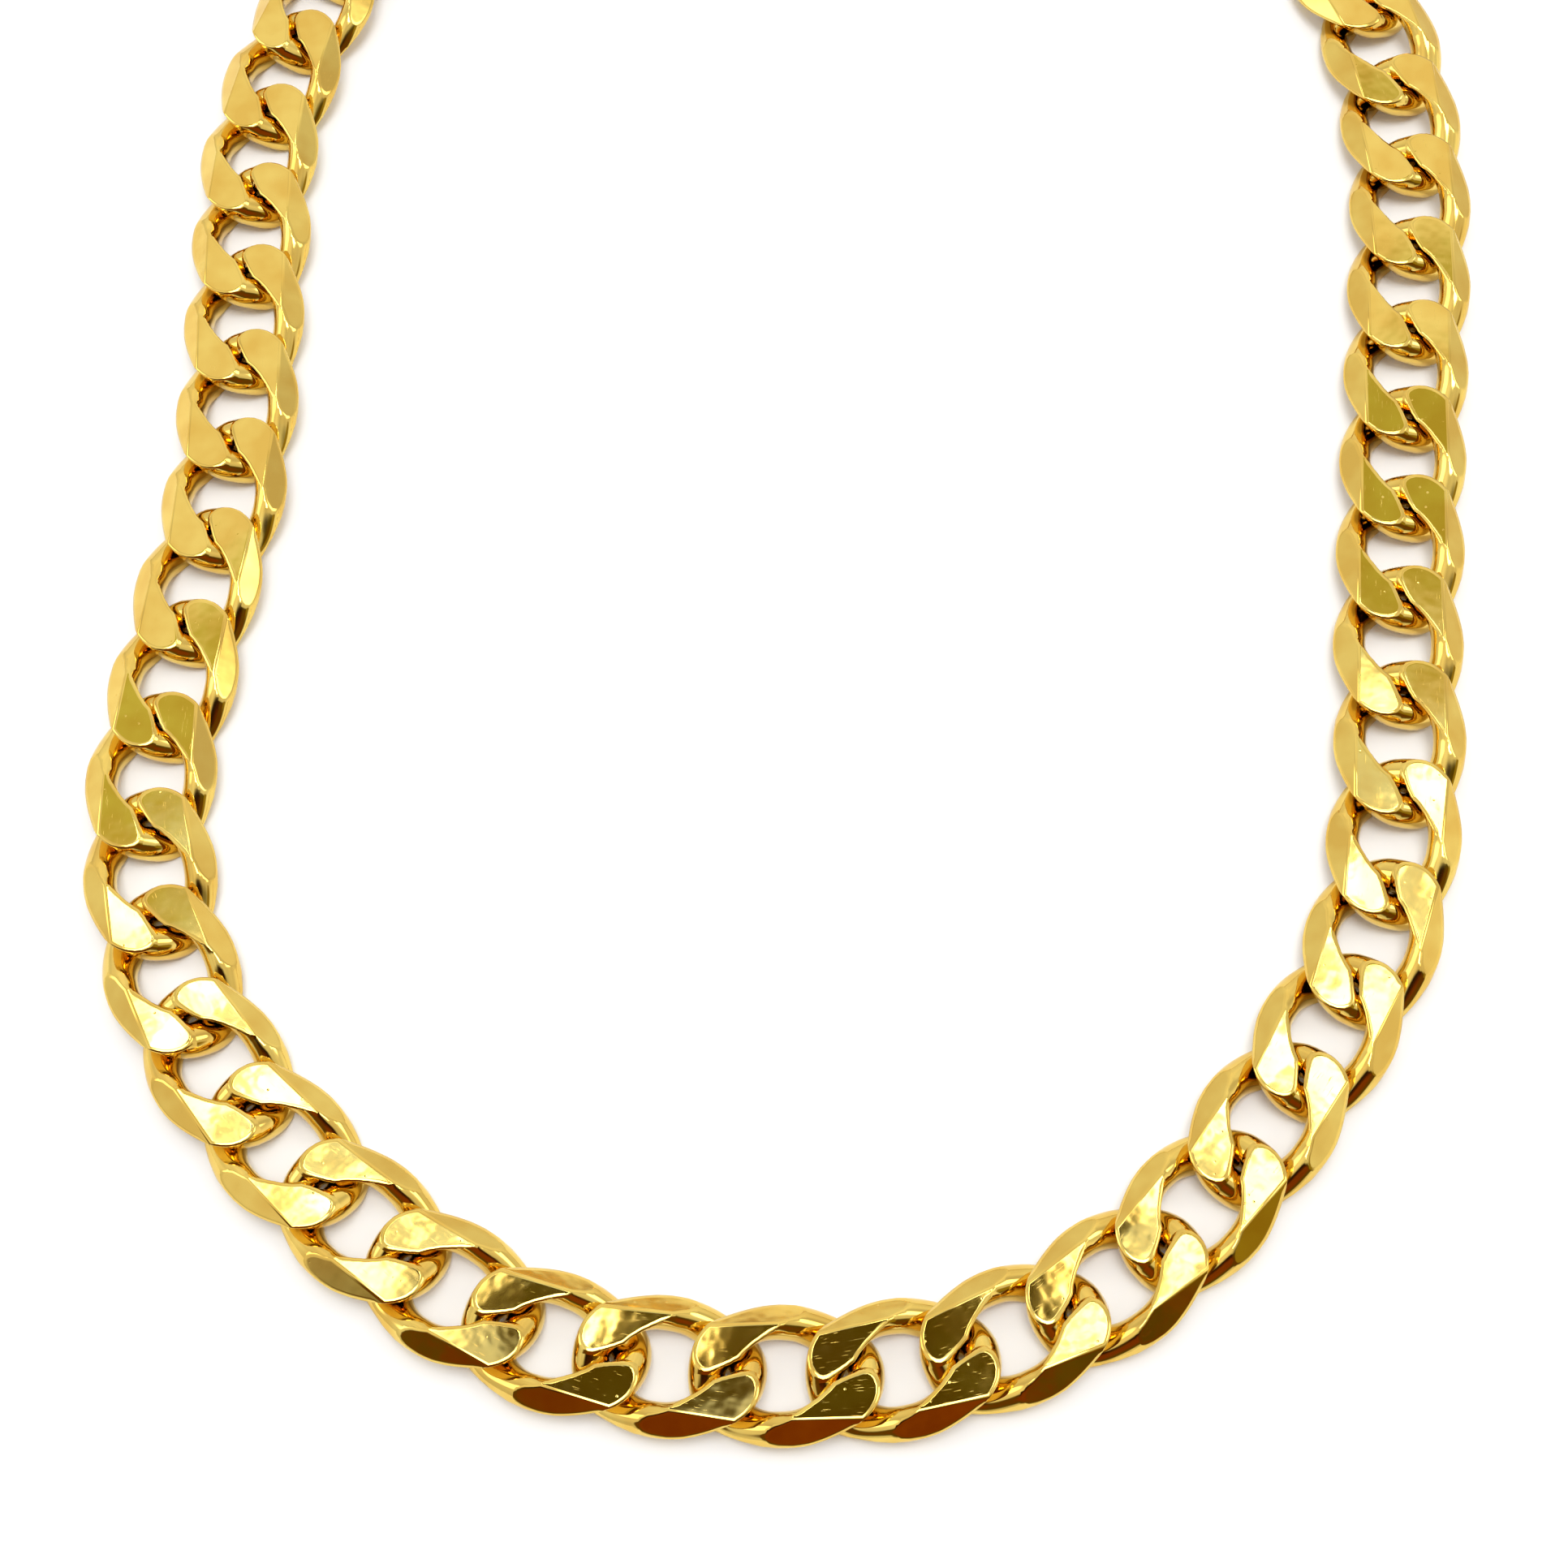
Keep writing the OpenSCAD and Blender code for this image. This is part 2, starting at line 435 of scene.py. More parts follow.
@dataclass
class CurbLink:
    """A curb link: round wire bent to a twisted oval, ground flat and bevelled.

    The sizes are millimetres, and follow the frame's links.
    """

    wire_d: float = 3.1
    length: float = 17.0
    width: float = 12.4
    # Squareness of the ends: 1 is a true ellipse, and less is fuller.
    end_fullness: float = 0.9
    # How far the twist lifts the wire, and how suddenly.
    rise: float = 1.892
    rise_power: float = 1.15
    # How much fuller the inner side is at the crossings and at the ends.
    swell: float = 1.0
    end_swell: float = 0.15
    thickness: float = 3.4
    bevel_width: float = 2.1
    edge_height: float = 0.4
    # Width of the rounded rim of each cut, and of the cut's own turn down to it.
    rim: float = 0.2
    roll_off: float = 0.16
    # Share of the rim's turn that is left where the cut's own face starts.
    rim_share: float = 0.3
    stations: int = 96
    sides: int = 24

    def path(self, u: np.ndarray) -> np.ndarray:
        """Gives points of the wire's centre line.

        Args:
            u: Angles round the link, in radians.

        Returns:
            One point a row.
        """
        cos, sin = np.cos(u), np.sin(u)
        height = np.sin(2 * u)
        reach_x = (self.length - self.wire_d) / 2
        reach_y = (self.width - self.wire_d) / 2
        return np.stack(
            [
                reach_x * np.sign(cos) * np.abs(cos) ** self.end_fullness,
                reach_y * np.sign(sin) * np.abs(sin) ** self.end_fullness,
                -self.rise * np.sign(height) * np.abs(height) ** self.rise_power,
            ],
            axis=-1,
        )

    def headings(self, u: np.ndarray, step: float = 0.004) -> np.ndarray:
        """Gives the centre line's unit directions at the angles u."""
        along = self.path(u + step) - self.path(u - step)
        return along / np.linalg.norm(along, axis=-1, keepdims=True)

    def fullness(self, u: np.ndarray) -> np.ndarray:
        """Gives how much fuller the wire's inner side is, in millimetres.

        Args:
            u: Angles round the link, in radians.

        Returns:
            One value an angle: most at the crossings, and a little at the ends.
        """
        cos, sin = np.abs(np.cos(u)), np.abs(np.sin(u))
        # The powers put the peak 39 degrees from the end, and 3.25 makes it 1.
        return self.swell * 3.25 * sin**1.4 * cos**2.1 + self.end_swell * cos**8

    def cuts(self, rng: random.Random, tilt_deg: float) -> list[Cut]:
        """Gives the ground faces and bevels of both leaves.

        Args:
            rng: Source of the small tilts.
            tilt_deg: How far a cut tilts from its true plane, as a usual value.

        Returns:
            The cuts, in the order in which they are made.
        """
        half = self.thickness / 2
        ridge = self.width / 2 - self.bevel_width
        drop = (self.thickness - self.edge_height) / 2
        tip = (self.length - self.wire_d) / 2
        made = []
        for facet in (Facet.FLAT, Facet.BEVEL):
            for side, leaf in itertools.product((1, -1), repeat=2):
                if facet is Facet.FLAT:
                    point = Vector((-side * leaf * tip, 0.0, side * half))
                    facing = Vector((0.0, 0.0, side))
                else:
                    point = Vector((0.0, leaf * ridge, side * half))
                    facing = Vector((0.0, leaf * drop, side * self.bevel_width))
                    facing.normalize()
                facing = self._tilted(facing, rng, tilt_deg)
                made.append(Cut(facet, point, facing, side, leaf))
        return made

    @staticmethod
    def _tilted(normal: Vector, rng: random.Random, tilt_deg: float) -> Vector:
        """Turns a normal by a small tilt about each level axis."""
        turn = Matrix.Rotation(math.radians(rng.gauss(0, tilt_deg)), 3, "X")
        nod = Matrix.Rotation(math.radians(rng.gauss(0, tilt_deg)), 3, "Y")
        return nod @ (turn @ normal)

    def build(
        self, rng: random.Random, tilt_deg: float = 0.0, start: float | None = None
    ) -> MeshPart:
        """Sweeps the wire, cuts it and rounds the rims of the cuts.

        Args:
            rng: Source of the small tilts.
            tilt_deg: How far a cut tilts from its true plane, as a usual value.
            start: Where along its length a part of a link starts, if it isn't whole.

        Returns:
            The link's mesh.
        """
        bm = self._swept_wire()
        cuts = self.cuts(rng, tilt_deg)
        for cut in cuts:
            self._bisect(bm, cut, self.rim, False)
        layer = bm.faces.layers.int.new("cut")
        for index, cut in enumerate(cuts, 1):
            self._bisect(bm, cut, 0.0, True)
            for face in self._filled(bm):
                face[layer] = index
                face.material_index = int(cut.facet)
                if face.normal.dot(cut.normal) < 0:
                    face.normal_flip()
        self._merge_close(bm, layer)
        if start is not None:
            self._trim(bm, layer, start)
        part = self._rounded(bm, layer, cuts)
        bm.free()
        return part

    def _swept_wire(self) -> bmesh.types.BMesh:
        """Sweeps the round wire along its centre line.

        Returns:
            The closed wire. Its point layer wire_normal holds each point's direction.
        """
        bm = bmesh.new()
        layer = bm.verts.layers.float_vector.new("wire_normal")
        u = np.linspace(0, 2 * math.pi, self.stations, endpoint=False)
        along = self.headings(u)
        outward = np.cross(along, np.array(UP))
        outward /= np.linalg.norm(outward, axis=-1, keepdims=True)
        upward = np.cross(outward, along)
        a = np.linspace(0, 2 * math.pi, self.sides, endpoint=False)[None, :, None]
        spokes = np.cos(a) * outward[:, None] + np.sin(a) * upward[:, None]
        fuller = self.fullness(u)[:, None, None] * np.maximum(0.0, -np.cos(a)) ** 3
        rings = self.path(u)[:, None] + (self.wire_d / 2 + fuller) * spokes
        ahead = np.roll(rings, -1, axis=0) - np.roll(rings, 1, axis=0)
        around = np.roll(rings, -1, axis=1) - np.roll(rings, 1, axis=1)
        normals = np.cross(around, ahead)
        normals *= np.sign((normals * spokes).sum(axis=-1, keepdims=True))
        normals /= np.linalg.norm(normals, axis=-1, keepdims=True)
        grid = []
        for ring, facing in zip(rings, normals):
            row = [bm.verts.new(point) for point in ring]
            for vert, normal in zip(row, facing):
                vert[layer] = normal
            grid.append(row)
        for i, ring in enumerate(grid):
            following = grid[(i + 1) % self.stations]
            for j in range(self.sides):
                k = (j + 1) % self.sides
                bm.faces.new((ring[j], ring[k], following[k], following[j]))
        bmesh.ops.recalc_face_normals(bm, faces=bm.faces[:])
        return bm

    @staticmethod
    def _bisect(bm: bmesh.types.BMesh, cut: Cut, depth: float, clear: bool) -> None:
        """Cuts a leaf by a plane.

        Args:
            bm: The mesh.
            cut: The cut.
            depth: How far the plane is moved into the metal.
            clear: Whether the metal on the outer side is taken away.
        """
        faces = [face for face in bm.faces if cut.meets(face.calc_center_median())]
        edges = dict.fromkeys(edge for face in faces for edge in face.edges)
        verts = dict.fromkeys(vert for face in faces for vert in face.verts)
        bmesh.ops.bisect_plane(
            bm,
            geom=[*verts, *edges, *faces],
            dist=ON_PLANE,
            plane_co=cut.point - cut.normal * depth,
            plane_no=cut.normal,
            clear_outer=clear,
        )

    @staticmethod
    def _filled(bm: bmesh.types.BMesh) -> list[bmesh.types.BMFace]:
        """Closes the mesh's holes and returns the new faces."""
        holes = [edge for edge in bm.edges if edge.is_boundary]
        return bmesh.ops.holes_fill(bm, edges=holes, sides=0)["faces"]

    def _merge_close(
        self, bm: bmesh.types.BMesh, layer: bmesh.types.BMLayerItem
    ) -> None:
        """Merges points of a facet's outline that lie closer than half a rim."""
        cut_faces = [face for face in bm.faces if face[layer]]
        outline = dict.fromkeys(vert for face in cut_faces for vert in face.verts)
        bmesh.ops.remove_doubles(bm, verts=list(outline), dist=self.rim / 2)

    def _trim(
        self, bm: bmesh.types.BMesh, layer: bmesh.types.BMLayerItem, start: float
    ) -> None:
        """Takes away the part of a link that lies before a point of its length.

        Args:
            bm: The cut link.
            layer: Face layer with the number of the cut, from 1.
            start: Where along its length the link starts, in millimetres.
        """
        bmesh.ops.bisect_plane(
            bm,
            geom=bm.verts[:] + bm.edges[:] + bm.faces[:],
            dist=ON_PLANE,
            plane_co=(start, 0.0, 0.0),
            plane_no=(1.0, 0.0, 0.0),
            clear_inner=True,
        )
        for face in self._filled(bm):
            face[layer] = 0

    def _rounded(
        self, bm: bmesh.types.BMesh, layer: bmesh.types.BMLayerItem, cuts: list[Cut]
    ) -> MeshPart:
        """Rounds the rim of each facet and works out every normal.

        Args:
            bm: The cut link.
            layer: Face layer with the number of the cut, from 1.
            cuts: The cuts.

        Returns:
            The finished mesh.
        """
        bm.verts.index_update()
        points = np.array([vert.co for vert in bm.verts])
        normals = self._corner_normals(bm, layer, cuts)
        new_points, new_normals = [], []
        faces, facets = [], []
        width = self.rim + self.roll_off
        for face in bm.faces:
            loop = [vert.index for vert in face.verts]
            if not face[layer]:
                faces.append(tuple(loop))
                facets.append(int(Facet.WIRE))
                continue
            facing = np.array(cuts[face[layer] - 1].normal)
            outline = points[loop]
            drawn_in = inset(outline, facing, width) - outline
            rings = [loop]
            for reach, share in ((self.rim / width, self.rim_share), (1.0, 0.0)):
                first = len(points) + len(new_points)
                ring_normals = facing * (1 - share) + normals[loop] * share
                ring_normals /= np.linalg.norm(ring_normals, axis=1, keepdims=True)
                new_points.extend(outline + drawn_in * reach)
                new_normals.extend(ring_normals)
                rings.append(list(range(first, first + len(loop))))
            bands = zip(rings, rings[1:], (int(Facet.WIRE), face.material_index))
            for outer, inner, facet in bands:
                for i, a in enumerate(outer):
                    j = (i + 1) % len(outer)
                    faces.append((a, outer[j], inner[j], inner[i]))
                    facets.append(facet)
            faces.append(tuple(rings[-1]))
            facets.append(face.material_index)
        return MeshPart(
            np.concatenate([points, np.array(new_points)]),
            np.concatenate([normals, np.array(new_normals)]),
            faces,
            facets,
        )

    @staticmethod
    def _corner_normals(
        bm: bmesh.types.BMesh, layer: bmesh.types.BMLayerItem, cuts: list[Cut]
    ) -> np.ndarray:
        """Works out the directions of the cut link's points.

        Args:
            bm: The cut link.
            layer: Face layer with the number of the cut, from 1.
            cuts: The cuts.

        Returns:
            The wire's own direction at its points, and on a cut's outline the middle of
            the directions of all that meets there.
        """
        turned = bm.verts.layers.float_vector["wire_normal"]
        normals = np.array([vert[turned].normalized() for vert in bm.verts])
        for vert in bm.verts:
            numbers = {face[layer] for face in vert.link_faces}
            around = [np.array(cuts[i - 1].normal) for i in numbers if i]
            if not around:
                continue
            if 0 in numbers:
                around.append(normals[vert.index])
            total = np.sum(around, axis=0)
            normals[vert.index] = total / np.linalg.norm(total)
        return normals


# Millimetres that count as nothing across a point's way, and as something ahead of it.
LEVEL = 1e-9
AHEAD = 1e-6
# The least cosine that a corner's step is divided by, and how much room it may take.
CORNER_LIMIT = 0.35
ROOM_SHARE = 0.45
# Where an inner edge keeps less than this share of the outer one, its steps shrink.
EDGE_SHARE = 0.25
SHRINK = 0.75
SHRINK_ROUNDS = 20


def room_inward(
    outline: np.ndarray, normal: np.ndarray, inward: np.ndarray
) -> np.ndarray:
    """Measures how far each point of an outline is from the side that it faces.

    Args:
        outline: The outline's points in order, one a row.
        normal: The outline's unit normal.
        inward: The unit direction in which each point looks.

    Returns:
        One distance a point, or 0 where a point looks at nothing.
    """
    ends = np.roll(outline, -1, axis=0)
    room = np.zeros(len(outline))
    for i, (point, ahead) in enumerate(zip(outline, inward)):
        side = np.cross(normal, ahead)
        along_a, along_b = (outline - point) @ ahead, (ends - point) @ ahead
        across_a, across_b = (outline - point) @ side, (ends - point) @ side
        span = across_a - across_b
        crossing = np.abs(span) > LEVEL
        share = np.where(crossing, across_a / np.where(crossing, span, 1.0), -1.0)
        hit = along_a + share * (along_b - along_a)
        good = crossing & (share >= 0) & (share <= 1) & (hit > AHEAD)
        good[[i, i - 1]] = False
        if good.any():
            room[i] = hit[good].min()
    return room


def inset(outline: np.ndarray, normal: np.ndarray, width: float) -> np.ndarray:
    """Draws a flat outline in by a width, or less where the outline is narrow.

    Args:
        outline: The outline's points in order, one a row.
        normal: The outline's unit normal.
        width: How far the outline is drawn in.

    Returns:
        The inner points, one for each point of the outline.
    """
    ahead = np.roll(outline, -1, axis=0) - outline
    spacing = np.linalg.norm(ahead, axis=1)
    ahead /= spacing[:, None]
    inward_ahead = np.cross(normal, ahead)
    inward = inward_ahead + np.roll(inward_ahead, 1, axis=0)
    inward /= np.maximum(np.linalg.norm(inward, axis=1, keepdims=True), LEVEL)
    miter = width / np.maximum((inward * inward_ahead).sum(axis=1), CORNER_LIMIT)
    room = room_inward(outline, normal, inward)
    step = np.minimum(miter, ROOM_SHARE * room)[:, None]
    for _ in range(SHRINK_ROUNDS):
        inner = outline + inward * step
        kept = ((np.roll(inner, -1, axis=0) - inner) * ahead).sum(axis=1)
        turned = kept < EDGE_SHARE * spacing
        if not turned.any():
            break
        step[turned | np.roll(turned, 1)] *= SHRINK
    return outline + inward * step


# Metres within which two points of a frame node are one.
SAME_POINT = 1e-6


def islands(node: bpy.types.Object) -> list[np.ndarray]:
    """Splits a frame node into its loose solids.

    Args:
        node: The node's object.

    Returns:
        The points of each solid, in millimetres.
    """
    bm = bmesh.new()
    bm.from_mesh(node.data)
    bmesh.ops.remove_doubles(bm, verts=bm.verts[:], dist=SAME_POINT)
    left = dict.fromkeys(bm.verts)
    found = []
    while left:
        reached = [left.popitem()[0]]
        group = []
        while reached:
            vert = reached.pop()
            group.append(np.array(node.matrix_world @ vert.co) / MM)
            for edge in vert.link_edges:
                other = edge.other_vert(vert)
                if other in left:
                    del left[other]
                    reached.append(other)
        found.append(np.array(group))
    bm.free()
    return found


def lying(points: np.ndarray) -> tuple[Vector, float]:
    """Finds where a long flat solid lies.

    Args:
        points: The solid's points, in millimetres.

    Returns:
        Its centre, and the heading of its length in radians.
    """
    x, y = points[:, :2].mean(axis=0)
    z = (points[:, 2].min() + points[:, 2].max()) / 2
    plan = points[:, :2] - (x, y)
    _, axes = np.linalg.eigh(plan.T @ plan)
    along = axes[:, 1]
    return Vector((x, y, z)), math.atan2(along[1], along[0])


@dataclass(frozen=True)
class Lean:
    """How the chain leans at one link, as it lies in the photo.

    Links are numbered from the clasp, down the left side and up the right side. Inward
    is how far the link lies towards the inside of the loop, in millimetres.
    """

    link: int
    roll_deg: float
    inward: float


# The lean at a few links. It changes evenly from each of them to the next.
LEANS = (
    Lean(6, 3.0, 0.1),
    Lean(12, 3.0, 0.1),
    Lean(16, -2.0, 0.1),
    Lean(20, -4.0, 0.2),
    Lean(24, -4.0, 0.5),
    Lean(28, -3.0, 0.4),
    Lean(33, -4.0, 0.1),
    Lean(42, -4.0, 0.0),
    Lean(46, 0.0, 0.0),
)


@dataclass
class ChainHalf:
    """Half of the chain: the links from the clasp to the front of the loop.

    Upward is 1 where the links are numbered up the loop, and -1 where they are numbered
    down it. The tilt is a usual value in degrees.
    """

    node: str
    slot: str
    first_link: int
    upward: int
    seed: int
    link: CurbLink = field(default_factory=CurbLink)
    tilt_deg: float = 0.55
    # How far apart the links read their scratches and clouds, in millimetres.
    grain_spread: float = 90.0

    def place(self, number: int, centre: Vector, heading: float, nod: float) -> Matrix:
        """Gives a link's place on the floor, rolled about its length.

        Args:
            number: The link's number.
            centre: The centre of the frame's link, in millimetres.
            heading: The heading of its length, in radians.
            nod: How far one end dips, in radians.

        Returns:
            The place, with its +Y towards the inside of the loop.
        """
        inside = Vector((-math.sin(heading), math.cos(heading), 0.0))
        if inside.dot(centre) > 0:
            heading += math.pi
            inside.negate()
        links = [lean.link for lean in LEANS]
        roll = math.radians(np.interp(number, links, [lean.roll_deg for lean in LEANS]))
        inward = np.interp(number, links, [lean.inward for lean in LEANS])
        half = self.link.thickness / 2
        ridge = self.link.width / 2 - self.link.bevel_width
        lift = half * math.cos(roll) + ridge * abs(math.sin(roll)) - half
        return (
            Matrix.Translation(centre + inside * inward + UP * lift)
            @ Matrix.Rotation(heading, 4, "Z")
            @ Matrix.Rotation(roll, 4, "X")
            @ Matrix.Rotation(nod, 4, "Y")
        )

    def build(self, finishes: list[bpy.types.Material]) -> bpy.types.Object:
        """Lays a detailed link where each of the frame's links lies.

        Args:
            finishes: One material for each facet, in the order of Facet.

        Returns:
            The piece that stands for the frame's node.
        """
        rng = random.Random(self.seed)
        shown = ShownMesh()
        found = sorted(
            (lying(group) for group in islands(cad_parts[self.node])),
            key=lambda place: self.upward * place[0].y,
        )
        for number, (centre, heading) in enumerate(found, self.first_link):
            nod = math.radians(rng.gauss(0, self.tilt_deg / 2))
            place = self.place(number, centre, heading, nod)
            shift = Vector([rng.uniform(0, self.grain_spread) for _ in range(3)])
            shown.add(self.link.build(rng, self.tilt_deg), place, shift)
        piece = shown.build(f"{self.node}_links", finishes)
        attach(piece, BODY)
        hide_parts(self.node)
        faces = len(piece.data.polygons)
        LOG.info("%s: %d links, %d faces", piece.name, len(found), faces)
        return piece


@dataclass
class BoxClasp:
    """The plain box clasp, with a soldered link at each end.

    The sizes are millimetres. The span is the distance between the two links' centres,
    and the link depth is how far they go into the box.
    """

    node: str = "clasp"
    slot: str = "clasp_metal"
    length: float = 20.0
    width: float = 11.0
    thickness: float = 3.0
    corner_radius: float = 2.0
    edge_radius: float = 0.55
    seam_width: float = 0.22
    seam_depth: float = 0.14
    span: float = 18.2
    link_depth: float = 2.0
    corner_points: int = 10
    edge_steps: int = 6
    grain_shift: float = 40.0
    seed: int = 13
    link: CurbLink = field(default_factory=CurbLink)

    def outline(self) -> tuple[np.ndarray, np.ndarray]:
        """Draws the box's plan.

        Returns:
            The outline's points, and its outward directions, one a row.
        """
        reach = np.array([self.length, self.width]) / 2 - self.corner_radius
        facing = []
        corners = []
        for quarter, signs in enumerate(((1, 1), (-1, 1), (-1, -1), (1, -1))):
            for step in range(self.corner_points):
                turn = math.pi / 2 * (quarter + step / (self.corner_points - 1))
                facing.append((math.cos(turn), math.sin(turn)))
                corners.append(reach * np.array(signs))
        facing = np.array(facing)
        return np.array(corners) + facing * self.corner_radius, facing

    def levels(self) -> list[tuple[float, float, float]]:
        """Lists the rings of the box's side from the bottom to the top.

        Returns:
            How far each ring is drawn in, its height, and the slope of its normal in
            radians.
        """
        half = self.thickness / 2
        top = []
        for step in range(self.edge_steps + 1):
            slope = math.pi / 2 * step / self.edge_steps
            drawn_in = self.edge_radius * (1 - math.cos(slope))
            height = half - self.edge_radius * (1 - math.sin(slope))
            top.append((drawn_in, height, slope))
        lip, bead = self.seam_width / 2, 0.03
        # The seam is a groove: its floor, its wall, its lip and the bead above that.
        seam = [
            (self.seam_depth, 0.0, 0.0),
            (self.seam_depth * 0.75, lip * 0.7, -0.6),
            (bead, lip, -0.9),
            (0.0, lip + bead, 0.0),
        ]
        upper = seam + top
        lower = [(inset_by, -up, -slope) for inset_by, up, slope in upper[:0:-1]]
        return lower + upper

    def box(self) -> MeshPart:
        """Builds the box with its seam and rounded edges.

        Returns:
            The box, centred on its own frame.
        """
        plan, facing = self.outline()
        points, normals, faces = [], [], []
        for drawn_in, height, slope in self.levels():
            ring = plan - facing * drawn_in
            points.append(np.column_stack([ring, np.full(len(ring), height)]))
            tilt = np.full(len(ring), math.sin(slope))
            normals.append(np.column_stack([facing * math.cos(slope), tilt]))
        count = len(plan)
        for level in range(len(points) - 1):
            for i in range(count):
                a, b = level * count + i, level * count + (i + 1) % count
                faces.append((a, b, b + count, a + count))
        last = (len(points) - 1) * count
        faces.append(tuple(range(last, last + count)))
        faces.append(tuple(reversed(range(count))))
        facets = [int(Facet.WIRE)] * (len(faces) - 2) + [int(Facet.FLAT)] * 2
        return MeshPart(np.concatenate(points), np.concatenate(normals), faces, facets)

    def build(self, finishes: list[bpy.types.Material]) -> bpy.types.Object:
        """Builds the clasp where the frame's clasp lies.

        Args:
            finishes: One material for each facet, in the order of Facet.

        Returns:
            The piece that stands for the frame's node.
        """
        centre, heading = lying(islands(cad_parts[self.node])[0])
        place = Matrix.Translation(centre) @ Matrix.Rotation(heading, 4, "Z")
        rng = random.Random(self.seed)
        shown = ShownMesh()
        shown.add(self.box(), place, Vector((self.grain_shift, 0.0, 0.0)))
        start = (self.length - self.span) / 2 - self.link_depth
        for side, turn in ((1, 0.0), (-1, math.pi)):
            end = Matrix.Translation((side * self.span / 2, 0.0, 0.0))
            end @= Matrix.Rotation(turn, 4, "Z")
            link = self.link.build(rng, start=start)
            shift = Vector((0.0, side * self.grain_shift, 0.0))
            shown.add(link, place @ end, shift)
        piece = shown.build("box_clasp", finishes)
        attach(piece, BODY)
        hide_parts(self.node)
        LOG.info("%s: %d faces", piece.name, len(piece.data.polygons))
        return piece


@dataclass(frozen=True)
class StudioCard:
    """A card or lamp of the studio, far off, as the chain's mirror faces see it.

    Angles are degrees: azimuth turns from +X towards +Y. A card with a gap is broken
    into patches, and a larger gap leaves more of it out.
    """

    azimuth: float
    elevation: float
    width: float
    height: float
    colour: str
    strength: float
    edge: float = 0.25
    gap: float = 0.0
    patch_edge: float = 0.03

    def glow(self) -> list[float]:
        """Gives the card's colour at its strength."""
        return [c * self.strength for c in linear(self.colour)[:3]] + [1.0]

    def share(
        self,
        tree: bpy.types.NodeTree,
        direction: bpy.types.NodeSocket,
        blotches: bpy.types.NodeSocket,
    ) -> bpy.types.NodeSocket:
        """Works out how much of a direction the card covers.

        Args:
            tree: The world's node tree.
            direction: The direction that is looked in.
            blotches: The noise that breaks up a card with a gap.

        Returns:
            1 on the card and 0 off it, with a soft edge.
        """
        azimuth, elevation = math.radians(self.azimuth), math.radians(self.elevation)
        towards = Vector(
            (
                math.cos(azimuth) * math.cos(elevation),
                math.sin(azimuth) * math.cos(elevation),
                math.sin(elevation),
            )
        )
        across = UP.cross(towards).normalized()
        above = towards.cross(across)
        across /= math.tan(math.radians(self.width))
        above /= math.tan(math.radians(self.height))
        x, y, depth = (
            add_node(
                tree,
                "ShaderNodeVectorMath",
                {0: direction, 1: axis},
                operation="DOT_PRODUCT",
            ).outputs["Value"]
            for axis in (across, above, towards)
        )
        flat = add_node(tree, "ShaderNodeCombineXYZ", {0: x, 1: y}).outputs[0]
        reach = add_node(tree, "ShaderNodeVectorMath", {0: flat}, operation="LENGTH")
        # The depth is kept above 0, so that nothing shows opposite the card.
        ahead = add_math(tree, "MAXIMUM", depth, 0.001)
        ratio = add_math(tree, "DIVIDE", reach.outputs["Value"], ahead)
        rim = (1 + self.edge, 1 - self.edge)
        shown = add_range(tree, ratio, *rim, shape="SMOOTHSTEP")
        if self.gap:
            rim = (self.gap - self.patch_edge, self.gap + self.patch_edge)
            patches = add_range(tree, blotches, *rim)
            shown = add_math(tree, "MULTIPLY", shown, patches)
        return shown


